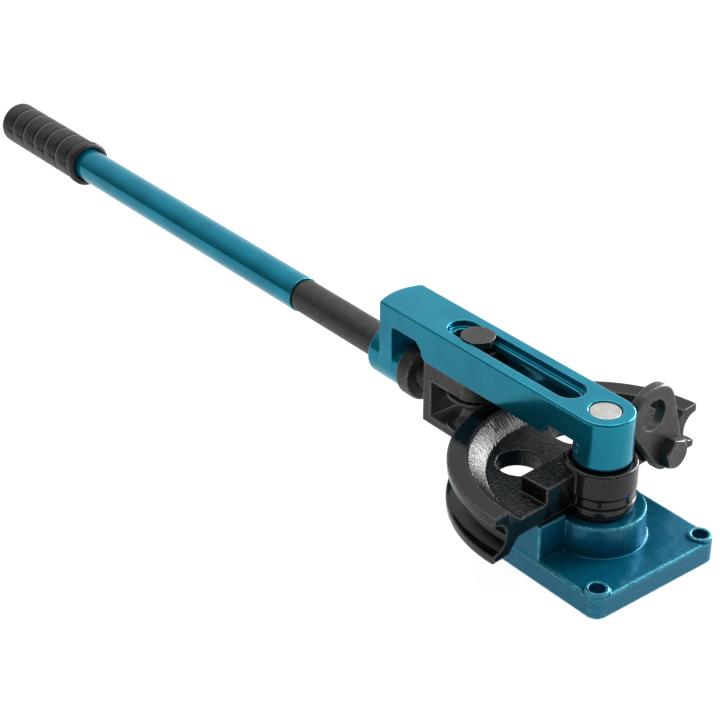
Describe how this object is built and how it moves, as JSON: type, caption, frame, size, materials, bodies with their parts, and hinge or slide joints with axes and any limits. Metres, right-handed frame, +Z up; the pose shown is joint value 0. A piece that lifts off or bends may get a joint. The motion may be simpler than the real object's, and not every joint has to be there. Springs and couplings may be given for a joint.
{
  "type": "manual tube bender",
  "caption": "Bench-mounted manual tube bender with a grooved half-round die on a cast base, a swinging lever arm with a screw-fed pressure roller, a long handle and a hinged pipe hook.",
  "frame": {"origin": "on the main shaft's axis at the base's underside", "axes": "+Z up along the shaft; the lever arm and handle point along -X at rest; +Y is the side of the pipe hook"},
  "size_m": [0.9584, 0.2414, 0.1341],
  "materials": {
    "teal_paint": "gloss enamel over cast iron and steel tube",
    "black_casting": "gloss black enamel with machined grey rim",
    "forged_steel": "dark phosphated satin",
    "dark_steel": "dark phosphated satin, turned",
    "bright_steel": "bare ground steel",
    "bronze": "bearing bronze",
    "rubber": "satin moulded rubber"
  },
  "bodies": {
    "base": {"base_plate": "teal_paint", "main_shaft": "bright_steel", "die_dowel": "bright_steel", "bending_die": "black_casting", "hook_washer": "dark_steel", "hook_bolt": "dark_steel", "arm_washer": "dark_steel"},
    "hook": {"pipe_hook": "forged_steel"},
    "arm": {"lever_arm": "teal_paint", "arm_bush": "bronze", "feed_nut": "dark_steel", "nut_grub_screw": "dark_steel"},
    "carriage": {"roller_bracket": "forged_steel", "roller_bolt": "dark_steel", "roller_nut": "dark_steel", "roller_nut_washer": "dark_steel", "roller_side_washers": "bright_steel", "screw_thrust_washer": "bright_steel"},
    "roller": {"pressure_roller": "dark_steel", "roller_bush": "bronze"},
    "handle": {"feed_screw": "dark_steel", "neck_circlip": "dark_steel", "handle_tube": "teal_paint", "tube_end_plug": "rubber", "handle_grip": "rubber"}
  },
  "joints": [
    {"name": "hook_swing", "type": "hinge", "parent": "base", "child": "hook", "pos_m": [-0.00619, 0.07223, 0.067], "axis": [-0.9963, -0.0854, 0], "range_deg": [0, 120.2]},
    {"name": "arm_swing", "type": "hinge", "parent": "base", "child": "arm", "pos_m": [0, 0, 0.11], "axis": [0, 0, 1], "range_deg": [0, 180]},
    {"name": "carriage_feed", "type": "slide", "parent": "arm", "child": "carriage", "axis": [-1, 0, 0], "range_m": [0, 0.012]},
    {"name": "roller_spin", "type": "hinge", "parent": "carriage", "child": "roller", "pos_m": [-0.1465, 0, 0.065], "axis": [0, 0, 1], "continuous": true},
    {"name": "handle_turn", "type": "hinge", "parent": "carriage", "child": "handle", "pos_m": [-0.19, 0, 0.0715], "axis": [-1, 0, 0], "range_deg": [0, 2160]}
  ],
  "couplings": [
    {"joint": "handle_turn", "follows": "carriage_feed", "rad_per_m": 3141.6}
  ]
}
